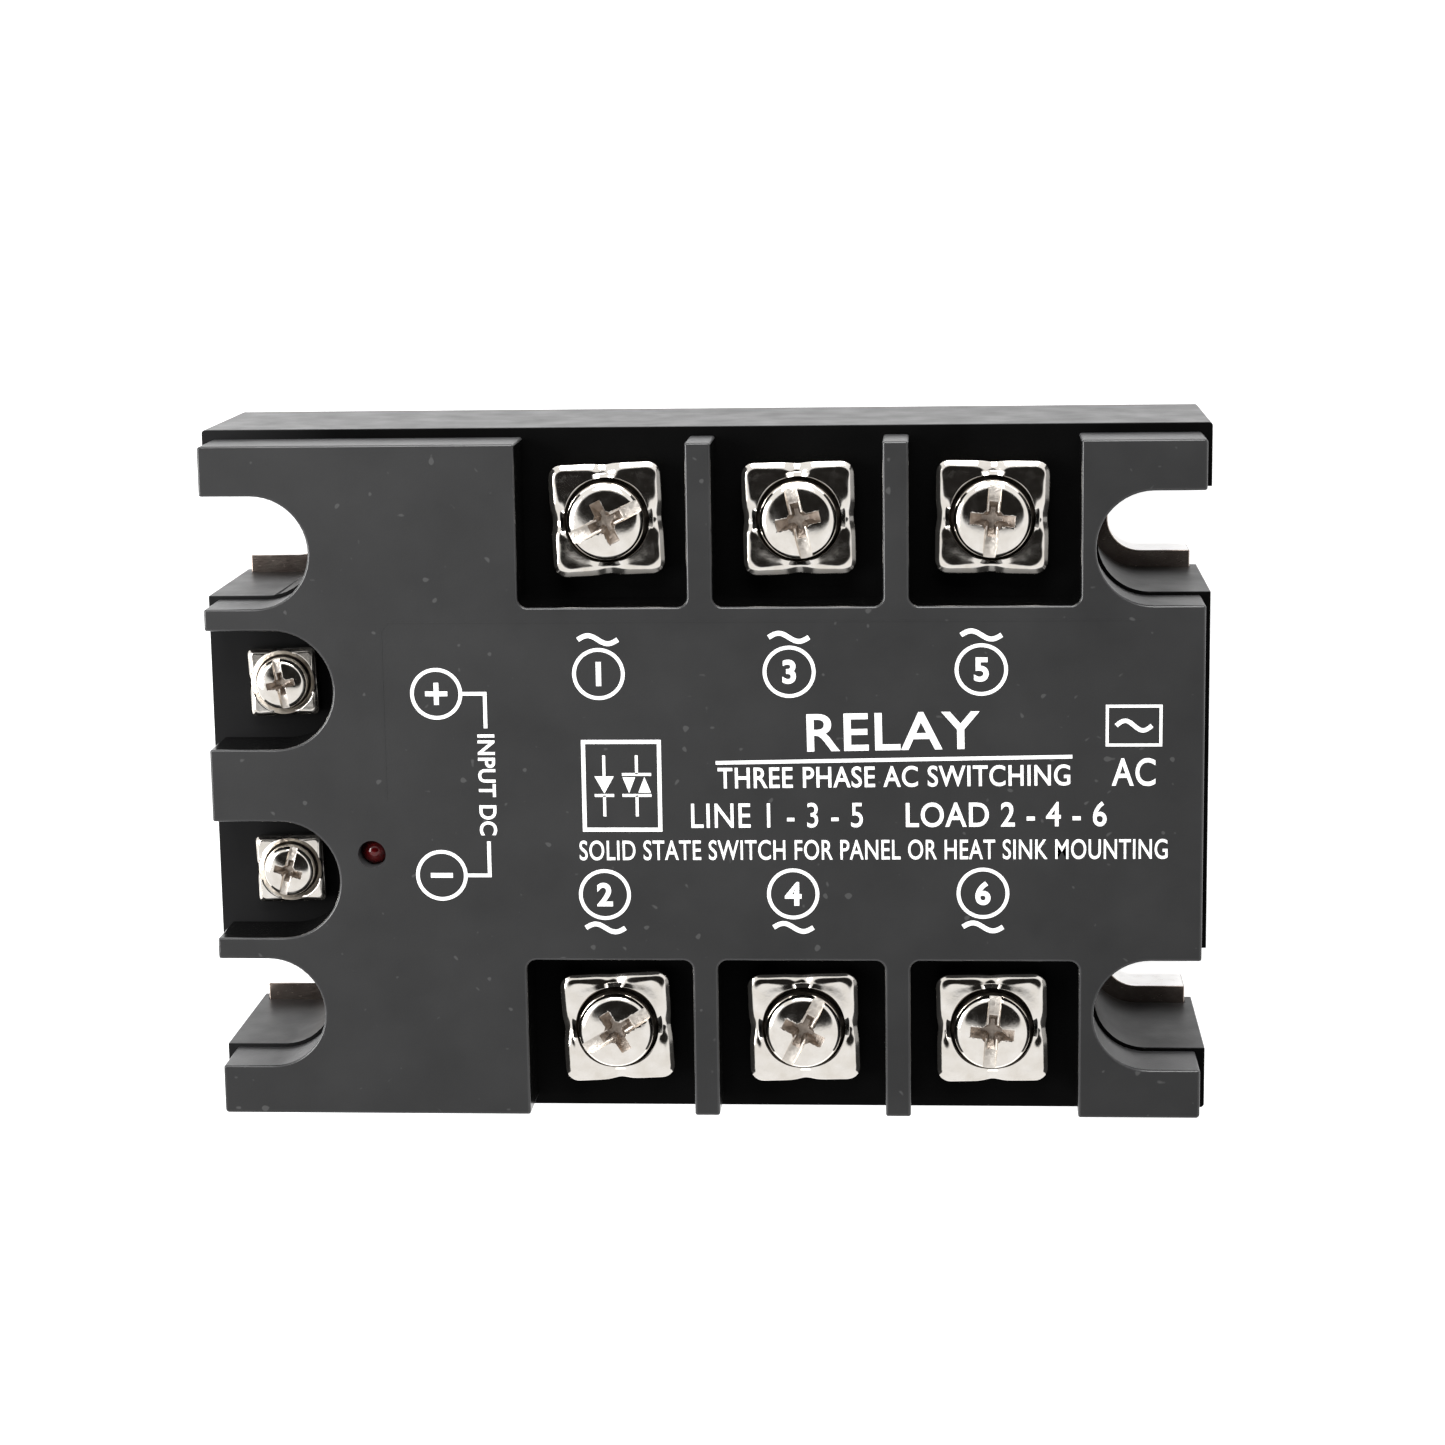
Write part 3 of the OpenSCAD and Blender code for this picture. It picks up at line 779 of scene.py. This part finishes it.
class Print:
    """Flat shapes on the front of the cover, in millimetres, gathered into one thin mesh."""

    def __init__(self, face_z):
        self.bm = bmesh.new()
        self.z0 = face_z - 0.01 * MM
        self.z1 = face_z + 0.02 * MM

    def polygon(self, points):
        bottom = [self.bm.verts.new((x * MM, y * MM, self.z0)) for x, y in points]
        top = [self.bm.verts.new((x * MM, y * MM, self.z1)) for x, y in points]
        count = len(points)
        self.bm.faces.new(reversed(bottom))
        self.bm.faces.new(top)
        for j in range(count):
            k = (j + 1) % count
            self.bm.faces.new((bottom[j], bottom[k], top[k], top[j]))

    def bar(self, a, b, width):
        a, b = Vector(a), Vector(b)
        side = (b - a).normalized().orthogonal() * width / 2
        self.polygon([tuple(p) for p in (a - side, b - side, b + side, a + side)])

    def strip(self, points, width, closed=False):
        """A line of even width along the points."""
        pts = [Vector(p) for p in points]
        count = len(pts)
        left, right = [], []
        for i, p in enumerate(pts):
            before = pts[i - 1] if closed or i else p
            after = pts[(i + 1) % count] if closed or i < count - 1 else p
            ahead = (after - p).normalized() if after != p else (p - before).normalized()
            behind = (p - before).normalized() if before != p else ahead
            tangent = (ahead + behind).normalized()
            half = width / 2 / max(tangent.dot(ahead), 0.3)
            normal = Vector((-tangent.y, tangent.x)) * half
            left.append(p + normal)
            right.append(p - normal)
        pairs = range(count if closed else count - 1)
        rows = [
            [[self.bm.verts.new((q.x * MM, q.y * MM, z)) for q in side] for side in (left, right)]
            for z in (self.z0, self.z1)
        ]
        (bottom_l, bottom_r), (top_l, top_r) = rows
        for i in pairs:
            k = (i + 1) % count
            self.bm.faces.new((top_r[i], top_r[k], top_l[k], top_l[i]))
            self.bm.faces.new((bottom_l[i], bottom_l[k], bottom_r[k], bottom_r[i]))
            self.bm.faces.new((top_l[i], top_l[k], bottom_l[k], bottom_l[i]))
            self.bm.faces.new((bottom_r[i], bottom_r[k], top_r[k], top_r[i]))
        if not closed:
            for i in (0, count - 1):
                self.bm.faces.new((bottom_l[i], bottom_r[i], top_r[i], top_l[i]))

    def ring(self, centre, radius, width):
        points = [(centre[0] + x, centre[1] + y) for x, y in circle(radius, 64)]
        self.strip(points, width, closed=True)

    def wave(self, centre, length, height, width):
        """The sign for alternating current."""
        steps = 24
        points = []
        for k in range(steps + 1):
            s = k / steps
            points.append((
                centre[0] + length * (s - 0.5), centre[1] + height * math.sin(2 * math.pi * s),
            ))
        self.strip(points, width)

    def words(self, text, centre, width, height, turn=0, weight=0.0):
        """Lettering in the built-in font, fitted to a height, and to a width unless it is None."""
        curve = bpy.data.curves.new("words", "FONT")
        curve.body = text
        curve.size = 1
        curve.offset = weight
        curve.extrude = 0.01
        curve.space_character = 1.06
        curve.resolution_u = 6
        carrier = add_piece("words", curve)
        graph = bpy.context.evaluated_depsgraph_get()
        mesh = bpy.data.meshes.new_from_object(carrier.evaluated_get(graph))
        bpy.data.objects.remove(carrier)
        letters = bmesh.new()
        letters.from_mesh(mesh)
        bmesh.ops.remove_doubles(letters, verts=letters.verts, dist=1e-5)
        xs = [v.co.x for v in letters.verts]
        ys = [v.co.y for v in letters.verts]
        scale_y = height * MM / (max(ys) - min(ys))
        scale_x = width * MM / (max(xs) - min(xs)) if width else scale_y
        middle = Vector(((max(xs) + min(xs)) / 2, (max(ys) + min(ys)) / 2, 0))
        rotate = Matrix.Rotation(math.radians(turn), 3, "Z")
        for v in letters.verts:
            p = v.co - middle
            level = self.z1 if v.co.z > 0 else self.z0
            v.co = rotate @ Vector((p.x * scale_x, p.y * scale_y, 0))
            v.co += Vector((centre[0] * MM, centre[1] * MM, level))
        merged = bpy.data.meshes.new("words")
        bmesh.ops.recalc_face_normals(letters, faces=letters.faces)
        letters.to_mesh(merged)
        letters.free()
        self.bm.from_mesh(merged)
        bpy.data.meshes.remove(merged)

    def piece(self, name):
        return add_piece(name, to_mesh(self.bm, name))


def terminal_marks(ink):
    """A number in a ring, with the sign for alternating current, beside each power terminal."""
    for name in POWER:
        column = (int(name) - 1) // 2
        side = 1 if int(name) % 2 else -1
        x = (-10.45 if side > 0 else -10.28) + 19.47 * column
        y = 11.66 + 0.17 * column if side > 0 else -11.47 + 0.1 * column
        ink.ring((x, y), 2.5, 0.38)
        ink.words(name, (x, y), None, 2.5, weight=0.03)
        ink.wave((x, y + side * 3.55), 4.1, 0.42, 0.5)


def input_marks(ink):
    """Plus and minus in rings, joined by a bracket with the kind of input between them."""
    x, bracket_x, stroke, sign_w = -27.2, -22.2, 0.38, 0.5
    for sign in (1, -1):
        y = 9.65 if sign > 0 else -9.45
        ink.ring((x, y), 2.5, stroke)
        ink.bar((x - 1.15, y), (x + 1.15, y), sign_w)
        if sign > 0:
            ink.bar((x, y - 1.15), (x, y - sign_w / 2), sign_w)
            ink.bar((x, y + sign_w / 2), (x, y + 1.15), sign_w)
        ink.strip([(x + 2.7, y), (bracket_x, y), (bracket_x, y - sign * 3.6)], stroke)
    ink.words("INPUT DC", (bracket_x, 0.1), 10.6, 1.8, turn=-90, weight=0.02)


def symbol_mark(ink):
    """A circuit symbol in a frame: a lamp diode beside two opposed thyristors."""
    left, right, low, high = -12.2, -4.4, -4.6, 4.6
    ink.strip([(left, low), (right, low), (right, high), (left, high)], 0.42, closed=True)
    stroke, lead = 0.3, 3.2
    x = left + 2.1
    ink.polygon([(x - 1, 1), (x + 1, 1), (x, -0.8)])
    ink.bar((x - 1, -1), (x + 1, -1), stroke)
    ink.bar((x, -1), (x, -lead), stroke)
    ink.bar((x, 1), (x, lead), stroke)
    x = right - 2.35
    ink.polygon([(x - 1.45, 0.9), (x - 0.15, 0.9), (x - 0.8, -0.75)])
    ink.polygon([(x + 0.15, -0.7), (x + 1.45, -0.7), (x + 0.8, 0.95)])
    for y, end in ((-1, -lead), (1.2, lead)):
        ink.bar((x - 1.5, y), (x + 1.5, y), stroke)
        ink.bar((x, y), (x, end), stroke)


def legend(ink):
    """Plain words that say what the part is and which terminal is which."""
    middle = 19.55
    ink.words("RELAY", (middle, 5.65), 17.6, 3.9, turn=0.9, weight=0.012)
    ink.bar((1.4, 2.4), (37.7, 3.0), 0.38)
    ink.words("THREE PHASE AC SWITCHING", (middle, 0.95), 35.9, 2.2, turn=0.5, weight=0.012)
    ink.words("LINE 1 - 3 - 5", (7.6, -3.1), 17.6, 2.6, turn=0.3, weight=0.004)
    ink.words("LOAD 2 - 4 - 6", (31.0, -3.0), 20.4, 2.6, turn=0.3, weight=0.012)
    use = "SOLID STATE SWITCH FOR PANEL OR HEAT SINK MOUNTING"
    ink.words(use, (17.3, -6.7), 60.2, 2.1, turn=0.2, weight=0.008)
    kind_x = 43.9
    corners = [(41.2, 4.2), (46.6, 4.2), (46.6, 8.2), (41.2, 8.2)]
    ink.strip(corners, 0.3, closed=True)
    ink.wave((kind_x, 6.2), 3.6, 0.5, 0.45)
    ink.words("AC", (kind_x, 1.4), 4.4, 2.9, weight=0.01)


def front_marks():
    ink = Print(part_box("front_cover")[1].z)
    terminal_marks(ink)
    input_marks(ink)
    symbol_mark(ink)
    legend(ink)
    piece = ink.piece("front_marks")
    finished(piece, print_ink(), "root")


def witness_lines(materials):
    """The faint raised line that a mould insert leaves round the label area."""
    lines = Print(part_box("front_cover")[1].z)
    lines.strip([(-32.7, -1.5), (-32.7, 16.2), (-32.0, 17.0), (44.5, 17.0)], 0.14)
    piece = lines.piece("witness_lines")
    finished(piece, materials["cover_plastic"], "root")


# ---------- studio ----------

def floor():
    """Plain white floor that stays almost white where the object shades it."""
    size = 6.0
    z = cad_box[0].z - 0.05 * MM
    bm = bmesh.new()
    corners = [(-size, -size), (size, -size), (size, size), (-size, size)]
    bm.faces.new([bm.verts.new((x, y, z)) for x, y in corners])
    piece = add_piece("floor", to_mesh(bm, "floor"))
    material = new_material("floor", (0.5, 0.5, 0.5), 0.9, specular=0.0)
    shader = material.node_tree.nodes["Principled BSDF"]
    shader.inputs["Emission Color"].default_value = (1, 1, 1, 1)
    shader.inputs["Emission Strength"].default_value = 0.85
    piece.data.materials.append(material)


def world():
    """A white tent with a dark opening overhead, wider across, where the camera looks in."""
    light = bpy.data.worlds.new("tent")
    scene.world = light
    light.use_nodes = True
    tree = light.node_tree
    background = tree.nodes["Background"]
    place = tree.nodes.new("ShaderNodeTexCoord")
    narrowing = 0.6
    dot = tree.nodes.new("ShaderNodeVectorMath")
    dot.operation = "DOT_PRODUCT"
    dot.inputs[1].default_value = Vector((narrowing * 0.05, 0.10, 0.99)).normalized()
    squeeze = tree.nodes.new("ShaderNodeVectorMath")
    squeeze.operation = "MULTIPLY"
    squeeze.inputs[1].default_value = (narrowing, 1, 1)
    unit = tree.nodes.new("ShaderNodeVectorMath")
    unit.operation = "NORMALIZE"
    ramp = tree.nodes.new("ShaderNodeValToRGB")
    ramp.color_ramp.interpolation = "EASE"
    ramp.color_ramp.elements[0].position = math.cos(math.radians(20.5))
    ramp.color_ramp.elements[0].color = (1, 1, 1, 1)
    ramp.color_ramp.elements[1].position = math.cos(math.radians(16.5))
    ramp.color_ramp.elements[1].color = (0.014, 0.013, 0.012, 1)
    tree.links.new(place.outputs["Generated"], squeeze.inputs[0])
    tree.links.new(squeeze.outputs["Vector"], unit.inputs[0])
    tree.links.new(unit.outputs["Vector"], dot.inputs[0])
    tree.links.new(dot.outputs["Value"], ramp.inputs["Fac"])
    tree.links.new(ramp.outputs["Color"], background.inputs["Color"])
    background.inputs["Strength"].default_value = 0.9


def soft_light(name, place_mm, size_mm, power):
    """A square softbox that faces the middle of the object."""
    lamp = bpy.data.lights.new(name, "AREA")
    lamp.size = size_mm * MM
    lamp.energy = power
    piece = bpy.data.objects.new(name, lamp)
    scene.collection.objects.link(piece)
    piece.location = Vector(place_mm) * MM
    piece.rotation_euler = (-piece.location).to_track_quat("-Z", "Y").to_euler()


def camera():
    """An 81 mm lens, 36 cm in front of the cover, a little above and right of its middle."""
    lens = bpy.data.cameras.new("camera")
    lens.lens = 81.43
    lens.sensor_width = 36
    lens.clip_start = 0.01
    piece = bpy.data.objects.new("camera", lens)
    scene.collection.objects.link(piece)
    place = Vector((24.83, 68.83, 356.35)) * MM
    ahead = Vector((-0.06797, -0.18660, -0.98008)).normalized()
    up = Vector((0.00198, 0.98233, -0.18717))
    right = ahead.cross(up).normalized()
    up = right.cross(ahead)
    turn = Matrix((right, up, -ahead)).transposed().to_4x4()
    piece.matrix_world = Matrix.Translation(place) @ turn
    scene.camera = piece


# ---------- assembly ----------

scene.view_settings.view_transform = "Standard"
camera()
floor()
world()
soft_light("key", (0, 420, 330), 320, 3.0)
soft_light("fill", (-340, 40, 300), 240, 2.0)

materials = slot_materials()
for node in frame["nodes"].values():
    for place in node.material_slots:
        place.material = materials[place.material.name.split(".")[0]]

front_cover(materials)
housing(materials)
base_plate(materials)
pressure_plates(materials)
terminal_screws(materials)
indicator(materials)
witness_lines(materials)
front_marks()
